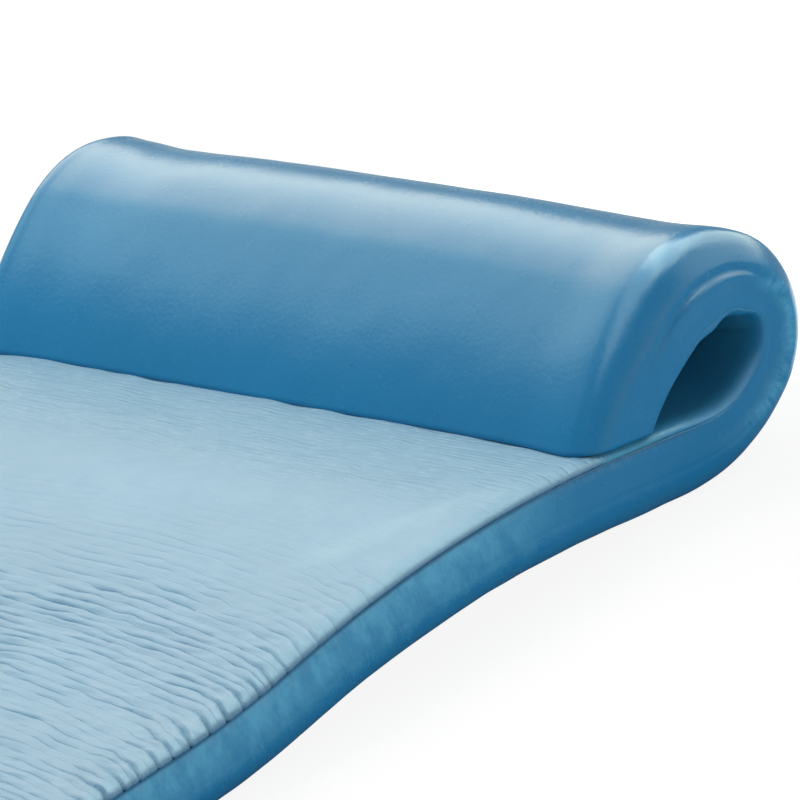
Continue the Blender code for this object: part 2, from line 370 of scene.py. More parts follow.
def skin(name, across, along, edge, level, raised):
    """A skin of the slab over its whole top or underside and round its edge.

    across and along are places on the skin spread flat. level is that of its flat part. raised
    gives how far it stands out at (x, s, n, share round the edge), and what else its points carry.
    """
    segments = (len(across) - 1, len(along) - 1)
    bm = bmesh.new()
    bmesh.ops.create_grid(bm, x_segments=segments[0], y_segments=segments[1], size=1.0)
    mesh = bpy.data.meshes.new(name)
    bm.to_mesh(mesh)
    bm.free()
    spots = np.empty(len(mesh.vertices) * 3, np.float32)
    mesh.vertices.foreach_get("co", spots)
    column, row = np.rint((spots.reshape(-1, 3)[:, :2] + 1) / 2 * segments).astype(int).T
    p, q = across[column], along[row]

    corner = FOOT_CORNER_RADIUS - edge.inset0 + edge.length
    core_x, core_s = SIDE - FOOT_CORNER_RADIUS, FOOT_CORNER_RADIUS
    a = np.maximum(abs(p) - core_x, 0) / corner
    b = np.maximum(core_s - q, 0) / corner
    a, b = a * np.sqrt(1 - b * b / 2), b * np.sqrt(1 - a * a / 2)
    reach = np.hypot(a, b) + TINY
    share = (reach * corner - FOOT_CORNER_RADIUS + edge.inset0) / edge.length
    on_edge = share > 0
    inset, n, out, up = edge.at(np.clip(share, 0, 1), curl_share(q))
    radius = np.where(on_edge, FOOT_CORNER_RADIUS - inset, reach * corner)
    n = np.where(on_edge, n, level)
    out = np.where(on_edge, out, 0)
    up = np.where(on_edge, up, math.copysign(1, level))
    way_x, way_s = np.sign(p) * a / reach, -b / reach
    x = np.sign(p) * np.minimum(abs(p), core_x) + way_x * radius
    s = np.maximum(q, core_s) + way_s * radius
    height, carried = raised(x, s, n, np.clip(share, 0, 1))
    place = laid(x + way_x * out * height, s + way_s * out * height, n + up * height)
    mesh.vertices.foreach_set("co", place.astype(np.float32).ravel())

    around = mesh.uv_layers.new(name="along_slab")
    corners = np.empty(len(mesh.loops), np.int32)
    mesh.loops.foreach_get("vertex_index", corners)
    spread = np.stack([p[corners], s[corners]], 1)
    around.uv.foreach_set("vector", spread.astype(np.float32).ravel())
    for title, values in carried.items():
        layer = mesh.attributes.new(title, "FLOAT", "POINT")
        layer.data.foreach_set("value", np.broadcast_to(values, p.shape).astype(np.float32))
    mesh.shade_smooth()
    piece = bpy.data.objects.new(name, mesh)
    bpy.context.scene.collection.objects.link(piece)
    wall = piece.vertex_groups.new(name="wall")
    lip = np.round(np.clip((1 - share) * edge.length / LIP_TAPER, LIP_WALL, 1), 2)
    for weight in np.unique(lip):
        wall.add(np.flatnonzero(lip == weight).tolist(), float(weight), "REPLACE")
    return piece


def thicken(piece, wall):
    """Gives a skin its wall, inwards, thinner at the lip."""
    solid = piece.modifiers.new("wall", "SOLIDIFY")
    solid.thickness = wall
    solid.offset = -1
    solid.vertex_group = "wall"
    solid.thickness_vertex_group = 0.0


def dress(piece, finish, slot, *nodes):
    """Gives a soft piece its finish, and puts it in the place of its solids."""
    piece.data.materials.append(finish)
    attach(piece, "root")
    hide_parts(*nodes)


# Zones along the slab: where each starts, how far it eases in, where it ends, how far it eases out
TAUT_ZONE = (1.400, 0.025, 1.56, 0.05)
CRINKLED_ZONE = (1.462, 0.085, NECK + 0.05, 0.06)
REAR_ZONE = (1.68, 0.06, 1.90, 0.04)
PALE_REAR_ZONE = (1.72, 0.05, 1.885, 0.04)
BULGE_ZONE = (1.72, 0.08, 2.06, 0.08)
CROWN_ZONE = (1.84, 0.05, 2.0, 0.10)
PLY_ZONE = (1.85, 0.05, 2.01, 0.07)
FAR_CREST_ZONE = (1.86, 0.03, 2.06, 0.06)

# How the upper skin creases on the mat
CREASED_FROM = 0.30
CREASED_EASE = 0.45
CREASED_TO = 1.392
CREASE_FADE = 0.07
RIM_STOPS_EARLIER = 0.045
FAINT_CREASES = 0.36
FAINT_REACH = 0.14
FAINT_FADE = 0.15
CREASE_BOW = 0.34
PUFF_SWEEP = 0.003
PUFF_SWEEP_REACH = 0.045
PUFF_SWEEP_END = 1.4
PUFF_REACH = 0.050
PUFF_TILT = 0.0004
EDGE_ARC = 0.012

# The band drawn taut over the hump on the right: its place across and slant, at one station
TAUT_X, TAUT_STATION, TAUT_SLANT = 0.260, 1.430, 0.46
TAUT_WIDTH = 0.016
TAUT_HEIGHT = 0.0001

# The fine crinkles before the pillow, and the short ticks on the rim beside them
CRINKLE_SPACING = 0.0046
TICKS_FROM, TICKS_EASE = 1.30, 0.08
TICK_REACH, TICK_EASE = 0.014, 0.012

# The fold in the top of the hollow, and how its roof is eased: how far, where, how wide
INNER_FOLD = NAPE - 0.008
INNER_FOLD_SLANT = 0.14
INNER_FOLD_FADE = 0.034
FOLD_ROLL, FOLD_CREASE = (0.014, 0.011), (0.0, 0.003)
ROOF_LOWERED, ROOF_RAISED = 0.0016, 0.0034
LOWERED_AT, RAISED_AT = (1.925, 0.028), (1.995, 0.032)

# How the outer skin stands out or dips in
SIDES_FULL_FROM, SIDES_FULL_EASE = 0.3, 0.6
SIDE_FULLNESS = 0.0012
REAR_FULLNESS = 0.0026
FAR_CREST_FULLNESS = 0.0034
CROWN_REACH, CROWN_EASE = 0.29, 0.20
PROUD_EASE = 0.0034
PROUD_FADE_FROM, PROUD_FADE_EASE = 0.001, 0.012
FURROW_DROP, FURROW_WIDTH, FURROW_DEPTH = 0.0012, 0.0020, 0.0009
FOLD_LINE_DEPTH = 0.0003
BITE_DEPTH = 0.0016

# Places round a skin's edge, as shares of its section: first of the upper skin, then of the outer
# one. Each is where something starts or stops, and how far it eases.
FINGERS_TO = (0.45, 0.5)
BEAD_FROM = (-0.02, 0.55)
LIP_FROM = (0.84, 0.07)
MOUTH_FROM = (0.05, 0.6)
SIDE_FROM = (0.35, 0.2)
ROUNDING = (0, 0.2, 0.80, 0.3)
BULGE_TO = (0.93, 0.3)
BITES_FROM = (0.86, 0.1)
BITTEN_FROM = (0.74, 0.18)
OUTER_LIP_FROM = (0.935, 0.03)
PALE_REAR_BAND = (0.60, 0.11)
CURL_LIP_FADE, OUTER_LIP_FADE = 0.3, 0.08
END_FADE = 0.01

# Soft random waves: how strong, how long across and along the slab, and a seed. Where the second
# place is a crease's number and not a station, its length is 1.
WAVES = {
    "crease drift": (0.0040, 0.2, 0.07, 5),
    "crease sway": (0.0019, 0.06, 0.035, 11),
    "crease wobble": (0.0018, 0.018, 0.010, 14),
    "crease stop": (0.014, 0.06, 1, 3),
    "puff depth": (0.3, 1, 1, 8),
    "puff dimple": (0.6, 0.03, 1, 9),
    "ripple run": (0.8, 0.030, 1, 12),
    "ripple break": (0.48, 0.030 / 3.1, 1, 13),
    "squeezed swell": (0.0005, 0.05, 0.03, 22),
    "squeezed grain": (0.0005, 0.012, 0.006, 23),
    "taut patch": (0.4, 0.012, 0.03, 24),
    "crinkle stir": (0.0016, 0.016, 0.008, 17),
    "crinkle drift": (0.0040, 0.05, 0.03, 18),
    "crinkle run": (0.9, 0.024, 1, 15),
    "crinkled swell": (0.0007, 0.03, 0.018, 19),
    "tick": (0.0005, 0.05, 0.0040, 16),
    "slow swell": (0.0004, 0.05, 0.05, 21),
    "outer swell": (0.00035, 0.06, 0.06, 31),
    "outer grain": (0.00018, 0.02, 0.018, 32),
    "nick": (0.35, 1, 0.006, 35),
}
# Shifts in the random table that part the left side's waves from the right side's, and that hold
# a place well inside its crease's own row
LEFT_FROM_RIGHT = 7
NICKS_LEFT_FROM_RIGHT = 5
INTO_LINE = 0.01


def wave(name, x, s, shift=0):
    """A random wave from the table, at places on the slab."""
    strength, across, along, seed = WAVES[name]
    return strength * swell(shift + x / across, s / along, seed)


def on_line(name, x, line, shift=0):
    """A random wave that runs along each crease, on its own, from the number of the crease."""
    return wave(name, x, line + INTO_LINE, shift)


def crease_phase(x, s, arc_x, spacing):
    """Whole numbers at the creases. Every other one parts two puffs at the mat's edge."""
    out = np.clip((arc_x - SIDE + PUFF_SWEEP_REACH) / PUFF_SWEEP_REACH, 0, PUFF_SWEEP_END)
    sweep = CREASE_BOW * x ** 2 + PUFF_SWEEP * out ** 2
    drift = wave("crease drift", x, s, np.sign(x) * LEFT_FROM_RIGHT) + wave("crease sway", x, s)
    return (s + sweep + drift + wave("crease wobble", x, s)) * 2 / spacing


def squeezed_share(x, s, rim):
    """How deep the creases are: they start behind the foot and fade over the hump."""
    stop = CREASED_TO - RIM_STOPS_EARLIER * rim ** 2 + wave("crease stop", x, s * 0)
    faint = FAINT_CREASES * smooth((stop + FAINT_REACH - s) / FAINT_FADE)
    fade = np.maximum(smooth((stop - s) / CREASE_FADE), faint)
    return smooth((s - CREASED_FROM) / CREASED_EASE) * fade


def puff_creases(x, line):
    """How deep each crease is at the mat's edge: main ones between puffs, slight ones on some."""
    side = np.sign(x) * LEFT_FROM_RIGHT
    odd = line % 2
    main = (1 - odd) * (0.75 + on_line("puff depth", 0 * x, line, side))
    return main + 0.45 * odd * smooth(on_line("puff dimple", x, line, side))


def groove(phase):
    """0 on the rounded ridges between whole phases, 1 at the bottom of the crease at each."""
    from_middle = 2 * abs(phase - np.floor(phase) - 0.5)
    return 1 - np.sqrt(np.clip(1 - from_middle ** 2, 0, 1))


def upper_skin_height(looks):
    """The upper skin: creased up to the hump, with a taut band on it, crinkled before the pillow,
    and folded and eased in the hollow."""

    def raised(x, s, n, share):
        mat = 1 - curl_share(s)
        arc_x = abs(x) + share * EDGE_ARC
        rim = smooth((arc_x - SIDE + PUFF_REACH) / PUFF_REACH)

        squeezed = squeezed_share(x, s, rim)
        phase = crease_phase(x, s, arc_x, looks.puff_spacing)
        line = np.rint(phase)
        runs = on_line("ripple run", x, line) + on_line("ripple break", x, line)
        ripple = looks.ripple_height * (0.28 + 0.95 * smooth(0.50 + runs)) * (1 - 0.72 * rim)
        pinch = 0.55 * looks.puff_height * rim * puff_creases(x, line)
        depth = squeezed * (ripple + pinch)
        height = 0.3 * depth - depth * groove(phase)
        puff = phase / 2
        height += 0.75 * squeezed * rim * looks.puff_height * (0.25 - groove(puff))
        finger = rim * (1 - past(share, *FINGERS_TO))
        height += PUFF_TILT * squeezed * finger * (puff - np.floor(puff) - 0.5)
        height += squeezed * (wave("squeezed swell", x, s) + wave("squeezed grain", x, s))

        band = ridge(x, TAUT_X + TAUT_SLANT * (s - TAUT_STATION), TAUT_WIDTH, power=4)
        taut = band * between(s, *TAUT_ZONE) * (0.8 + wave("taut patch", x, s))
        height += TAUT_HEIGHT * taut

        near = between(s, *CRINKLED_ZONE) * (1 - 0.7 * taut) * (1 - 0.5 * rim)
        fine = (s + wave("crinkle stir", x, s) + wave("crinkle drift", x, s)) / CRINKLE_SPACING
        crinkled = near * smooth(0.45 + on_line("crinkle run", x, np.rint(fine)))
        height += looks.crinkle_height * (0.3 * near - crinkled * groove(fine))
        height += near * wave("crinkled swell", x, s)
        tick = np.minimum(wave("tick", x, s, np.sign(x) * LEFT_FROM_RIGHT), 0)
        tick *= smooth((arc_x - SIDE + TICK_REACH) / TICK_EASE)
        height += (0.6 + 0.4 * near) * tick * past(s, TICKS_FROM, TICKS_EASE) * mat

        from_fold = s - INNER_FOLD + INNER_FOLD_SLANT * (SIDE - abs(x))
        fold = 0.9 * ridge(from_fold, *FOLD_ROLL) - ridge(from_fold, *FOLD_CREASE)
        height += looks.inner_fold * fold * smooth((SIDE - arc_x) / INNER_FOLD_FADE)
        height += ROOF_LOWERED * ridge(s, *LOWERED_AT) - ROOF_RAISED * ridge(s, *RAISED_AT)
        height += wave("slow swell", x, s) * (0.4 + curl_share(s))
        height *= before(s, END, END_FADE) * np.maximum(before(share, 1, CURL_LIP_FADE), mat)
        return height, {
            "crease": phase,
            "creased": np.clip(depth / looks.ripple_height, 0, 1) * mat,
            "crinkle": fine,
            "crinkled": crinkled * mat,
            "near_pillow": near * mat,
            "taut": taut,
            "bead": past(share, *BEAD_FROM) * mat,
            "lip": past(share, *LIP_FROM) * mat,
            "mouth": past(share, *MOUTH_FROM) * (1 - mat),
        }

    return raised


def under_skin_height(looks):
    """The outer skin: taut, with soft waves, full sides and roll ends, the plies' fold line, the
    proud inner ply at the crest, and small bites where creases meet its lip."""

    def raised(x, s, n, share):
        mat = 1 - curl_share(s)
        height = wave("outer swell", x, s) + wave("outer grain", x, s)
        side = past(share, *SIDE_FROM)
        full = SIDE_FULLNESS * past(s, SIDES_FULL_FROM, SIDES_FULL_EASE) * mat
        full += REAR_FULLNESS * between(s, *REAR_ZONE)
        full += FAR_CREST_FULLNESS * between(s, *FAR_CREST_ZONE) * (x < 0)
        height += full * between(share, *ROUNDING)
        bulge = side * before(share, *BULGE_TO) * between(s, *BULGE_ZONE)
        height += looks.end_bulge * bulge
        crown = before(abs(x), CROWN_REACH, CROWN_EASE) * between(s, *CROWN_ZONE)
        height += looks.crown * crown

        proud = past(n, PLY_LEVEL, PROUD_EASE)
        proud *= 1 - 0.75 * past(n, PROUD_FADE_FROM, PROUD_FADE_EASE)
        furrow = ridge(n, PLY_LEVEL - FURROW_DROP, FURROW_WIDTH)
        step = looks.ply_step * proud - FURROW_DEPTH * furrow
        height += side * (between(s, *PLY_ZONE) * step - FOLD_LINE_DEPTH * furrow)

        phase = crease_phase(x, s, SIDE + EDGE_ARC, looks.puff_spacing)
        bites = puff_creases(x, np.rint(phase)) * groove(phase) * squeezed_share(x, s, 1.0)
        nicks = np.minimum(wave("nick", 0 * x, s, np.sign(x) * NICKS_LEFT_FROM_RIGHT), 0)
        height -= past(share, *BITES_FROM) * BITE_DEPTH * (bites - nicks) * mat
        height *= np.maximum(before(share, 1, OUTER_LIP_FADE), 0.5 * mat)
        return height, {
            "level": n / HALF,
            "side": side * mat,
            "lip": past(share, *OUTER_LIP_FROM) * mat,
            "pale_rear": ridge(share, *PALE_REAR_BAND) * between(s, *PALE_REAR_ZONE),
            "bitten": np.clip(bites, 0, 1) * past(share, *BITTEN_FROM) * mat,
        }

    return raised


class Value:
    """A number, colour or shader from a node's socket. Sums on a number add Math nodes."""

    def __init__(self, nodes, socket):
        self.nodes = nodes
        self.socket = socket

    def __add__(self, other):
        return self.nodes.math("ADD", self, other)

    def __sub__(self, other):
        return self.nodes.math("SUBTRACT", self, other)

    def __rsub__(self, other):
        return self.nodes.math("SUBTRACT", other, self)

    def __mul__(self, other):
        return self.nodes.math("MULTIPLY", self, other)

    def __abs__(self):
        return self.nodes.math("ABSOLUTE", self)

    __radd__ = __add__
    __rmul__ = __mul__

    def part(self):
        """What is left of it past its whole number."""
        return self.nodes.math("FRACT", self)

    def at_least(self, other):
        return self.nodes.math("MAXIMUM", self, other)


class Nodes:
    """A tree of shader nodes, made node by node."""

    def __init__(self, tree):
        self.tree = tree

    def node(self, kind, settings=None, inputs=None, out=0):
        """Any kind of node: its settings, then the values or links of its sockets."""
        made = self.tree.nodes.new(kind)
        for key, value in (settings or {}).items():
            setattr(made, key, value)
        for key, value in (inputs or {}).items():
            if isinstance(value, Value):
                self.tree.links.new(value.socket, made.inputs[key])
            else:
                made.inputs[key].default_value = value
        return Value(self, made.outputs[out])

    def math(self, operation, *terms):
        return self.node("ShaderNodeMath", {"operation": operation}, dict(enumerate(terms)))

    def shader_of(self, name):
        """The shader of a node that the tree came with."""
        return Value(self, self.tree.nodes[name].outputs[0])

    def for_rays(self, kind, share, first, second):
        """A shader that is first for most rays, and in part second for those of one kind."""
        ray = self.node("ShaderNodeLightPath", out=kind)
        return self.node("ShaderNodeMixShader", {}, {0: ray * share, 1: first, 2: second})

    def show(self, output, shader):
        """Puts a shader on the tree's output."""
        self.tree.links.new(shader.socket, self.tree.nodes[output].inputs["Surface"])


class Finish(Nodes):
    """A material. Its constants stand on its shader's own sockets."""

    def __init__(self, name, **constants):
        self.material = bpy.data.materials.new(name)
        self.material.use_nodes = True
        super().__init__(self.material.node_tree)
        self.shader = self.tree.nodes["Principled BSDF"]
        for socket, value in constants.items():
            self.shader.inputs[socket.replace("_", " ")].default_value = value

    def set(self, socket, value):
        """Lets a socket of the shader change over the surface."""
        self.tree.links.new(value.socket, self.shader.inputs[socket])

    def noise(self, where, scale, detail=2.0, roughness=0.5, distortion=0.0):
        return self.node(
            "ShaderNodeTexNoise", {}, {
                "Vector": where, "Scale": scale, "Detail": detail, "Roughness": roughness,
                "Distortion": distortion,
            })

    def streaks(self, along, to_metre, detail=3.0, roughness=0.6):
        """Noise drawn out over the slab, with so many streaks to a metre across and along."""
        return self.noise(self.scaled(along, (*to_metre, 1.0)), 1.0, detail, roughness)

    def ease(self, value, low, high):
        """0 where value is below low, 1 above high, with a smooth step between."""
        return self.node(
            "ShaderNodeMapRange", {"interpolation_type": "SMOOTHSTEP"},
            {"Value": value, "From Min": low, "From Max": high})

    def mixed(self, share, first, second):
        return self.node(
            "ShaderNodeMix", {"data_type": "RGBA"}, {0: share, 6: first, 7: second}, out=2)

    def layered(self, colour, *layers):
        """A colour with others laid over it in turn, each by its share."""
        for share, other in layers:
            colour = self.mixed(share, colour, other)
        return colour

    def attribute(self, name):
        return self.node("ShaderNodeAttribute", {"attribute_name": name}, out=2)

    def scaled(self, vector, size):
        return self.node("ShaderNodeVectorMath", {"operation": "MULTIPLY"}, {0: vector, 1: size})

    def bump(self, height, distance, strength, under=None):
        inputs = {"Height": height, "Distance": distance, "Strength": strength}
        if under is not None:
            inputs["Normal"] = under
        return self.node("ShaderNodeBump", {}, inputs)

    def object_place(self):
        return self.node("ShaderNodeTexCoord", out="Object")


def rgba(colour, share=1.0):
    """A colour for a socket, lighter or darker by a share."""
    return (*(min(part * share, 1) for part in colour), 1.0)


def vinyl(name):
    return Finish(name, IOR=1.42, Specular_IOR_Level=0.5)


def slab_places(finish):
    """What a skin's patterns read: places spread over the slab, and the station along it."""
    along = finish.node("ShaderNodeUVMap", {"uv_map": "along_slab"})
    return along, finish.node("ShaderNodeSeparateXYZ", {}, {0: along}, out=1)


def crease_lines(finish, phase, share, width):
    """1 along the bottom of each crease of a skin, fading to 0 over its width."""
    from_middle = abs(finish.attribute(phase).part() - 0.5) * 2
    return finish.ease(from_middle, 1 - width, 1) * finish.attribute(share)


def peel(finish, place):
    """The fine orange peel of dip-coated vinyl."""
    grain = finish.noise(place, 280.0, detail=3.0, roughness=0.65)
    return finish.bump(grain, distance=0.0003, strength=0.60)


# Stations between which the upper skin turns from its painted sheen to deep blue under the roll,
# its rim under the pillow turns rougher and smooth again, and the outer skin's sides turn pale
# with painted light
PALE_TO_DEEP = (1.602, 1.622)
UNDER_PILLOW_FROM, UNDER_PILLOW_TO = (1.606, 1.622), (1.670, 1.650)
SIDES_PALE_TO = (1.60, 1.48)


def upper_vinyl(looks):
    """The upper skin's vinyl: pale on the mat as a painted sheen, mottled before the pillow with
    painted glints and painted shade in dents, darker near the pillow, in the creases and under the
    edge as painted shade, with a painted highlight on the taut band, and deep blue in the hollow of
    the pillow, lighter inside it as painted light."""
    finish = vinyl("light_blue_vinyl")
    place = finish.object_place()
    along, s = slab_places(finish)
    cloud = finish.noise(place, 9.0, detail=3.0)
    blotch = finish.noise(place, 55.0, detail=3.0, roughness=0.6)
    flecks = finish.ease(finish.streaks(along, (75.0, 420.0)), 0.48, 0.66)
    dent_shade = finish.ease(finish.streaks(along, (78.0, 494.0)), 0.52, 0.66)
    patches = finish.ease(finish.noise(place, 30.0, detail=4.0, roughness=0.7), 0.46, 0.60)
    bead_shade_streaks = finish.streaks(along, (12.0, 420.0), detail=2.0)
    lines = crease_lines(finish, "crease", "creased", 0.22)
    crinkles = crease_lines(finish, "crinkle", "crinkled", 0.45)
    near, taut = finish.attribute("near_pillow"), finish.attribute("taut")
    bead, lip = finish.attribute("bead"), finish.attribute("lip")
    mouth = finish.attribute("mouth")

    # The mat's light blue is a painted sheen on the deep blue vinyl.
    dark, crease_shade_blue = rgba(looks.light_blue, 0.88), rgba(looks.crease_shade_blue)
    pale = finish.layered(
        dark,
        (cloud, rgba(looks.light_blue, 1.10)),
        (finish.ease(blotch, 0.35, 0.75) * 0.12, rgba(looks.light_blue, 0.80)),
        # Painted shade: the mat turns darker near the pillow.
        (near * 0.85, dark),
        # Painted glints: pale flecks on the crinkles before the pillow.
        (flecks * near * 0.12, rgba(looks.painted_glint)),
        # Painted shade in dents and patches before the pillow.
        (dent_shade * near * 0.50, crease_shade_blue),
        (patches * near * 0.40, crease_shade_blue),
        # Painted highlight along the taut band.
        (taut * 0.07, rgba(looks.painted_glint)),
        # Painted shade on the bead, in streaks.
        (bead * (bead_shade_streaks * 1.5), crease_shade_blue),
        # Painted shade along the bottoms of the creases and crinkles.
        ((lines * 0.42).at_least(crinkles * 0.62), crease_shade_blue),
        # The lip turns deep blue at the crease, darker still as painted shade.
        (lip, rgba(looks.deep_blue, 0.75)),
    )
    # Painted light: inside the hollow the deep blue is lightened to the hollow blue.
    deep = finish.mixed(mouth, rgba(looks.hollow_blue), rgba(looks.deep_blue))
    streak = finish.streaks(along, (30.0, 160.0))
    fade = finish.ease(s + (streak - 0.5) * 0.03, *PALE_TO_DEEP)
    finish.set("Base Color", finish.mixed(fade, pale, deep))

    under_pillow = finish.ease(s, *UNDER_PILLOW_FROM) * finish.ease(s, *UNDER_PILLOW_TO) * bead
    rough = 0.40 + blotch * 0.10 + lines * 0.15 + near * 0.06
    rough = rough - fade * 0.13 + mouth * 0.20 + under_pillow * 0.30
    finish.set("Roughness", rough)
    fine = finish.streaks(along, (160.0, 700.0))
    bumped = finish.bump(fine, distance=0.0004, strength=0.30, under=peel(finish, place))
    ridges = 1 - (lines + crinkles)
    finish.set("Normal", finish.bump(ridges, distance=0.0006, strength=0.5, under=bumped))
    return finish.material


def deep_vinyl(looks):
    """The outer skin's vinyl: deep blue with specks, lighter and streaked up the mat's sides as
    painted light, lighter round the rear of the roll's ends, pale where the creases bite into its
    lip, and darker at its lip as painted shade."""
    finish = vinyl("deep_blue_vinyl")
    place = finish.object_place()
    along, s = slab_places(finish)
    cloud = finish.noise(place, 7.0, detail=3.0)
    blotch = finish.noise(place, 60.0, detail=4.0, roughness=0.65)
    streak = finish.streaks(along, (60.0, 330.0), detail=4.0, roughness=0.65)
    mottle = finish.streaks(along, (26.0, 48.0), detail=4.0, roughness=0.7)
    mottle = finish.ease(mottle, 0.36, 0.64)
    specks = finish.ease(finish.noise(place, 330.0, detail=1.0), 0.70, 0.76)
    level, side = finish.attribute("level"), finish.attribute("side")
    bitten, lip = finish.attribute("bitten"), finish.attribute("lip")

    height = level + (blotch - 0.5) * 0.9 + (streak - 0.5) * 0.6
    # Painted light: the upper half of the mat's sides is lighter, mottled and streaked.
    lit_upper_side = finish.ease(height, -0.80, 0.50) * finish.ease(s, *SIDES_PALE_TO) * side
    # A lighter band round the rear of the roll's ends.
    pale_rear = finish.attribute("pale_rear") * finish.ease(blotch * 0.6 + streak * 0.4, 0.36, 0.60)
    ticks = finish.ease(streak, 0.50, 0.62) * finish.ease(level, 0.42, 0.72) * side
    finish.set("Base Color", finish.layered(
        rgba(looks.deep_blue, 0.92),
        (cloud, rgba(looks.deep_blue, 1.08)),
        (lit_upper_side * (0.42 + mottle * 0.66), rgba(looks.side_blue)),
        (pale_rear * 0.85, rgba(looks.side_blue)),
        (ticks * 0.45, rgba(looks.light_blue)),
        (bitten * (streak * 1.5), rgba(looks.light_blue)),
        (specks * finish.ease(cloud, 0.45, 0.62) * 0.35, rgba(looks.deep_blue, 0.5)),
        # Painted shade in the crease: the outer skin's lip is darker.
        (lip, rgba(looks.deep_blue, 0.55)),
    ))
    finish.set("Roughness", 0.20 + blotch * 0.12 + lit_upper_side * 0.10)
    finish.set("Normal", peel(finish, place))
    return finish.material


def closed_cell_foam(looks):
    """Foam: pale and matt, with closed cells."""
    finish = Finish("closed_cell_foam", Roughness=0.95, IOR=1.4)
    place = finish.object_place()
    cells = finish.node("ShaderNodeTexVoronoi", {}, {"Vector": place, "Scale": 900.0})
    shade = finish.noise(place, 40.0, detail=3.0)
    finish.set("Base Color", finish.mixed(shade, rgba(looks.foam, 0.93), rgba(looks.foam)))
    finish.set("Normal", finish.bump(cells, distance=0.0004, strength=0.6))
    return finish.material


def contact_adhesive(looks):
    """Dried glue: amber, uneven."""
    finish = Finish("contact_adhesive", IOR=1.45)
    place = finish.object_place()
    drawn_out = finish.scaled(place, (1.0, 4.0, 1.0))
    streaks = finish.noise(drawn_out, 60.0, detail=4.0, roughness=0.6, distortion=0.4)
    colour = finish.mixed(streaks, rgba(looks.adhesive, 0.75), rgba(looks.adhesive))
    finish.set("Base Color", colour)
    finish.set("Roughness", 0.35 + streaks * 0.35)
    finish.set("Normal", finish.bump(streaks, distance=0.0003, strength=0.5))
    return finish.material


def length_setting(name, description, default):
    """A size that a user can change, in metres."""
    return FloatProperty(name=name, description=description, default=default, unit="LENGTH")


def colour_setting(name, description, default):
    """A colour that a user can change."""
    return FloatVectorProperty(
        name=name, description=description, default=default, subtype="COLOR", size=3,
        min=0.0, max=1.0)


def plain_setting(name, description, default):
    """A number without a unit that a user can change, such as a light's strength."""
    return FloatProperty(name=name, description=description, default=default)


class FloatLooks(bpy.types.PropertyGroup):
    coat: length_setting("Coat", "Thickness of the vinyl coat", 0.0012)
    puff_spacing: length_setting(
        "Puff spacing", "Distance between the creases along the mat's edges", 0.0160)
    puff_height: length_setting(
        "Puff height", "Height of the puffs between the edge creases", 0.0022)
    ripple_height: length_setting("Ripple height", "Height of the ripples across the mat", 0.0011)
    crinkle_height: length_setting(
        "Crinkle height", "Height of the fine crinkles before the pillow", 0.0007)
    ply_step: length_setting(
        "Ply step", "How far the inner ply stands proud at the crest of the roll's end", 0.0024)
    end_bulge: length_setting("End bulge", "How far the roll's ends swell out sideways", 0.0018)
    crown: length_setting("Crown", "How far the pillow's top stands up between its ends", 0.0032)
    inner_fold: length_setting(
        "Inner fold", "Depth of the fold in the top of the pillow's hollow", 0.0018)
    foam_slack: length_setting(
        "Foam slack", "How far the foam lies inside its solid, clear of the coat's creases",
        0.0034)
    # Painted sheen: the mat's top is paler than the deep blue.
    light_blue: colour_setting("Light blue", "Colour of the mat's top", (0.101, 0.216, 0.364))
    # Painted glints: the pale colour of the flecks before the pillow and of the taut band's
    # highlight.
    painted_glint: colour_setting(
        "Glint", "Colour of the pale flecks before the pillow", (0.42, 0.58, 0.64))
    # Painted shade: the darker blue laid into the creases, dents and bead.
    crease_shade_blue: colour_setting(
        "Crease blue", "Colour at the bottom of the creases", (0.078, 0.186, 0.312))
    # Painted light: the lighter upper half of the mat's sides, also used for the lighter band round
    # the rear of the roll's ends.
    side_blue: colour_setting(
        "Side blue", "Colour of the paler upper half of the mat's sides", (0.058, 0.295, 0.500))
    deep_blue: colour_setting(
        "Deep blue", "Colour of the pillow, the sides and the underside", (0.005, 0.152, 0.342))
    # Painted light: a lighter copy of the deep blue, for inside the pillow's hollow.
    hollow_blue: colour_setting(
        "Hollow blue", "Colour inside the pillow's hollow", (0.026, 0.205, 0.370))
    foam: colour_setting("Foam", "Colour of the foam inside", (0.80, 0.83, 0.84))
    adhesive: colour_setting("Adhesive", "Colour of the dried glue", (0.62, 0.55, 0.36))


class StageLooks(bpy.types.PropertyGroup):
    floor: colour_setting("Floor", "Colour of the floor", (0.86, 0.86, 0.86))
    fill: plain_setting("Fill", "Strength of the even light all round", 0.35)
    mirrored: plain_setting("Mirrored", "Strength of the even light where it is mirrored", 0.42)
    key: plain_setting("Key", "Radiance of the large panel behind the float", 3.9)
    wash: plain_setting("Wash", "Radiance of the panel high on the far left", 2.6)
    low: plain_setting("Low", "Radiance of the panel low on the far left", 1.0)
    overhead: plain_setting("Overhead", "Radiance of the panel overhead, not mirrored", 7.7)
    gleam: plain_setting("Gleam", "Radiance of the panel behind the crest, only mirrored", 8.5)
    top: plain_setting("Top", "Radiance of the panel straight above, only mirrored", 4.3)
    crest: plain_setting("Crest", "Radiance of the panel high behind the roll, only mirrored", 8.0)
    back: plain_setting("Back", "Radiance of the panel behind the roll, only mirrored", 5.0)
    rim: plain_setting("Rim", "Radiance of the panel behind on the right, only mirrored", 2.6)
    right: plain_setting("Right", "Radiance of the panel on the right, not mirrored", 4.1)
    card: plain_setting("Card", "Radiance of the card that lights the floor behind the roll", 3.2)
    lens: plain_setting("Lens", "Focal length of the camera in millimetres", 394.6)


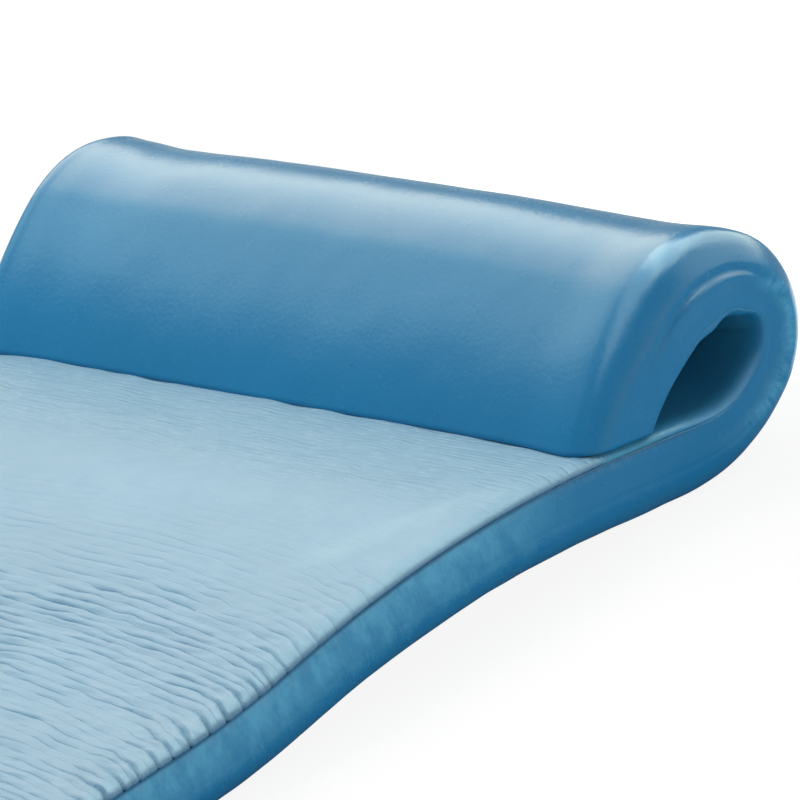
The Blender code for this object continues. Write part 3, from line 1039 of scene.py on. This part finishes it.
class FLOAT_OT_upper_skin(bpy.types.Operator):
    """Make the upper skin, creased by the bends"""

    bl_idname = "pool_float.upper_skin"
    bl_label = "Upper Skin"

    def execute(self, context):
        looks = context.scene.pool_float
        rim = SIDE - BEAD.inset0
        edge = BEAD.length
        half = graded((0, 0.27, 0.0065), (0.27, rim, 0.0030), (rim, rim + edge, 0.0010))
        across = np.concatenate([-half[:0:-1], half])
        along = graded(
            (BEAD.inset0 - edge, BEAD.inset0, 0.0015), (BEAD.inset0, 0.06, 0.004),
            (0.06, 0.60, 0.006), (0.60, 0.95, 0.0022), (0.95, 1.41, 0.0010),
            (1.41, 1.48, 0.0025), (1.48, 1.62, 0.0010), (1.62, END, 0.0024))
        piece = skin("upper_skin", across, along, BEAD, HALF, upper_skin_height(looks))
        thicken(piece, looks.coat)
        dress(piece, upper_vinyl(looks), "vinyl_light", "vinyl_coat_top")
        return {"FINISHED"}


class FLOAT_OT_outer_skin(bpy.types.Operator):
    """Make the outer skin: the underside, the sides and the outside of the pillow"""

    bl_idname = "pool_float.outer_skin"
    bl_label = "Outer Skin"

    def execute(self, context):
        looks = context.scene.pool_float
        rim = SIDE - FLANK.inset0
        edge = FLANK.length
        turn = rim + 0.030
        half = graded((0, rim, 0.011), (rim, turn, 0.003), (turn, rim + edge, 0.0011))
        across = np.concatenate([half[::-1], -half[1:]])
        along = graded(
            (FLANK.inset0 - edge, FLANK.inset0, 0.0022), (FLANK.inset0, 0.06, 0.006),
            (0.06, 0.90, 0.009), (0.90, 1.66, 0.0035), (1.66, END, 0.0030))
        piece = skin("outer_skin", across, along, FLANK, -HALF, under_skin_height(looks))
        thicken(piece, looks.coat)
        dress(piece, deep_vinyl(looks), "vinyl_deep", "vinyl_coat_underside")
        return {"FINISHED"}


MERGE_DISTANCE = 1e-6
SHARP_ANGLE = math.radians(40)


class FLOAT_OT_foam(bpy.types.Operator):
    """Make the two plies of foam from their solids, eased and drawn in from the coat"""

    bl_idname = "pool_float.foam"
    bl_label = "Foam Plies"

    def execute(self, context):
        looks = context.scene.pool_float
        finish = closed_cell_foam(looks)
        for ply in ("foam_core_lower", "foam_core_upper"):
            bm = bmesh.new()
            bm.from_mesh(frame["nodes"][ply].data)
            bmesh.ops.remove_doubles(bm, verts=bm.verts, dist=MERGE_DISTANCE)
            bmesh.ops.recalc_face_normals(bm, faces=bm.faces)
            bm.normal_update()
            moves = [vert.normal * looks.foam_slack for vert in bm.verts]
            for vert, move in zip(bm.verts, moves):
                vert.co -= move
            mesh = bpy.data.meshes.new(ply.replace("core", "ply"))
            bm.to_mesh(mesh)
            bm.free()
            mesh.shade_smooth()
            mesh.set_sharp_from_angle(angle=SHARP_ANGLE)
            piece = bpy.data.objects.new(mesh.name, mesh)
            context.scene.collection.objects.link(piece)
            dress(piece, finish, "foam", ply)
        return {"FINISHED"}


class FLOAT_OT_glue(bpy.types.Operator):
    """Finish the films of glue"""

    bl_idname = "pool_float.glue"
    bl_label = "Glue"

    def execute(self, context):
        finish = contact_adhesive(context.scene.pool_float)
        for film in ("ply_bond", "pillow_bond"):
            piece = frame["nodes"][film]
            for slot in piece.material_slots:
                slot.material = finish
        return {"FINISHED"}


NEUTRAL = (0.96, 1.0, 0.98)
SOFT = (0.92, 1.0, 0.93)
COOL = (0.88, 1.0, 0.82)
PALE = (0.78, 1.0, 0.84)
SUNNY = (1.0, 0.99, 0.78)
WHITE = (1.0, 1.0, 1.0)
FILL_TINT = (0.96, 0.98, 1.0)
MIDDLE, ROLL = (0, 0.4, 0.1), (0.2, 0.6, 0.1)

# Each light panel: its place, what it faces, its size, its tint, and the rays it is for
PANELS = {
    "key": ((-3.28, 2.45, 2.57), MIDDLE, (2.8, 3.0), SUNNY, "ALL"),
    "wash": ((-3.12, 0.24, 2.91), MIDDLE, (1.65, 1.63), PALE, "ALL"),
    "low": ((-3.88, 0.74, 1.67), MIDDLE, (1.37, 1.33), PALE, "ALL"),
    "overhead": ((-2.00, -1.16, 3.73), MIDDLE, (2.5, 2.5), SOFT, "DIFFUSE"),
    "gleam": ((0.14, 1.98, 2.64), MIDDLE, (3.8, 1.6), COOL, "GLOSSY"),
    "crest": ((0.46, 3.56, 2.78), ROLL, (2.4, 1.3), COOL, "GLOSSY"),
    "top": ((0.18, 0.72, 3.58), MIDDLE, (4.6, 2.85), COOL, "GLOSSY"),
    "back": ((0.02, 4.02, 1.21), ROLL, (2.2, 1.8), COOL, "GLOSSY"),
    "rim": ((2.25, 3.53, 1.26), ROLL, (2.74, 2.4), COOL, "GLOSSY"),
    "right": ((3.65, 1.60, 0.78), ROLL, (2.74, 1.3), NEUTRAL, "DIFFUSE"),
    "card": ((0.0, 1.08, 0.004), (0.0, 1.0801, -1.0), (0.74, 0.24), WHITE, "ALL"),
}

# The camera, as fitted to the photograph
CAMERA_PLACE = (4.56426, -2.88793, 2.41543)
CAMERA_RIGHT = (0.68354, 0.68959, -0.23925)
CAMERA_UP = (-0.12136, 0.43059, 0.89435)
CAMERA_BACK = (0.71975, -0.58229, 0.37801)
CLIP_START, CLIP_END = 0.1, 200
FLOOR_REACH = 90
FLOOR_DROP = 0.0005
FLOOR_GLOW = 0.90


def panel(name, radiance, place, target, size, tint, rays):
    """A soft light panel that the camera doesn't see. It can be for one kind of ray only."""
    light = bpy.data.lights.new(name, "AREA")
    light.shape = "RECTANGLE"
    light.size, light.size_y = size
    light.color = tint
    light.energy = radiance * math.pi * size[0] * size[1]
    lamp = bpy.data.objects.new(name, light)
    lamp.location = place
    lamp.rotation_euler = (Vector(target) - Vector(place)).to_track_quat("-Z", "Y").to_euler()
    lamp.visible_camera = False
    lamp.visible_diffuse = rays != "GLOSSY"
    lamp.visible_glossy = rays != "DIFFUSE"
    bpy.context.scene.collection.objects.link(lamp)


class FLOAT_OT_stage(bpy.types.Operator):
    """Make the floor, the light and the camera"""

    bl_idname = "pool_float.stage"
    bl_label = "Stage"

    def execute(self, context):
        looks = context.scene.pool_float_stage
        bm = bmesh.new()
        bmesh.ops.create_grid(bm, x_segments=1, y_segments=1, size=FLOOR_REACH)
        mesh = bpy.data.meshes.new("floor")
        bm.to_mesh(mesh)
        bm.free()
        floor = bpy.data.objects.new("floor", mesh)
        floor.location.z = -FLOOR_DROP
        context.scene.collection.objects.link(floor)
        ground = Finish("pale_floor", Roughness=0.9, Base_Color=rgba(looks.floor))
        dull = ground.node("ShaderNodeBsdfDiffuse", {}, {"Color": rgba([looks.mirrored] * 3)})
        white = ground.node("ShaderNodeEmission")
        seen = ground.for_rays("Is Glossy Ray", 1.0, ground.shader_of("Principled BSDF"), dull)
        ground.show("Material Output", ground.for_rays("Is Camera Ray", FLOOR_GLOW, seen, white))
        mesh.materials.append(ground.material)

        world = bpy.data.worlds.new("studio")
        context.scene.world = world
        world.use_nodes = True
        studio = Nodes(world.node_tree)
        fill = world.node_tree.nodes["Background"]
        fill.inputs["Color"].default_value = rgba(FILL_TINT)
        fill.inputs["Strength"].default_value = looks.fill
        dim = studio.node("ShaderNodeBackground", {}, {"Strength": looks.mirrored})
        white = studio.node("ShaderNodeBackground", {}, {"Color": rgba(WHITE)})
        seen = studio.for_rays("Is Glossy Ray", 1.0, studio.shader_of("Background"), dim)
        studio.show("World Output", studio.for_rays("Is Camera Ray", 1.0, seen, white))

        for name, settings in PANELS.items():
            panel(name + "_panel", getattr(looks, name), *settings)

        camera = bpy.data.objects.new("camera", bpy.data.cameras.new("camera"))
        camera.data.lens = looks.lens
        camera.data.clip_start, camera.data.clip_end = CLIP_START, CLIP_END
        way = Matrix((CAMERA_RIGHT, CAMERA_UP, CAMERA_BACK)).transposed().to_4x4()
        camera.matrix_world = Matrix.Translation(CAMERA_PLACE) @ way
        context.scene.collection.objects.link(camera)
        context.scene.camera = camera
        context.scene.view_settings.view_transform = "Standard"
        return {"FINISHED"}


STEPS = ("stage", "upper_skin", "outer_skin", "foam", "glue")


class FLOAT_PT_panel(bpy.types.Panel):
    """Lists the float's pieces"""

    bl_idname = "FLOAT_PT_panel"
    bl_label = "Pool Float"
    bl_space_type = "VIEW_3D"
    bl_region_type = "UI"
    bl_category = "Pool Float"

    def draw(self, context):
        for settings in (context.scene.pool_float, context.scene.pool_float_stage):
            for name in settings.bl_rna.properties.keys():
                if name not in ("rna_type", "name"):
                    self.layout.prop(settings, name)
        for step in STEPS:
            self.layout.operator("pool_float." + step)


CLASSES = (
    FloatLooks, StageLooks, FLOAT_OT_upper_skin, FLOAT_OT_outer_skin, FLOAT_OT_foam, FLOAT_OT_glue,
    FLOAT_OT_stage, FLOAT_PT_panel,
)


def register():
    for cls in CLASSES:
        bpy.utils.register_class(cls)
    bpy.types.Scene.pool_float = PointerProperty(type=FloatLooks)
    bpy.types.Scene.pool_float_stage = PointerProperty(type=StageLooks)


def unregister():
    del bpy.types.Scene.pool_float_stage
    del bpy.types.Scene.pool_float
    for cls in reversed(CLASSES):
        bpy.utils.unregister_class(cls)


def main():
    register()
    for step in STEPS:
        getattr(bpy.ops.pool_float, step)()
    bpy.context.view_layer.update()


if __name__ == "__main__":
    main()
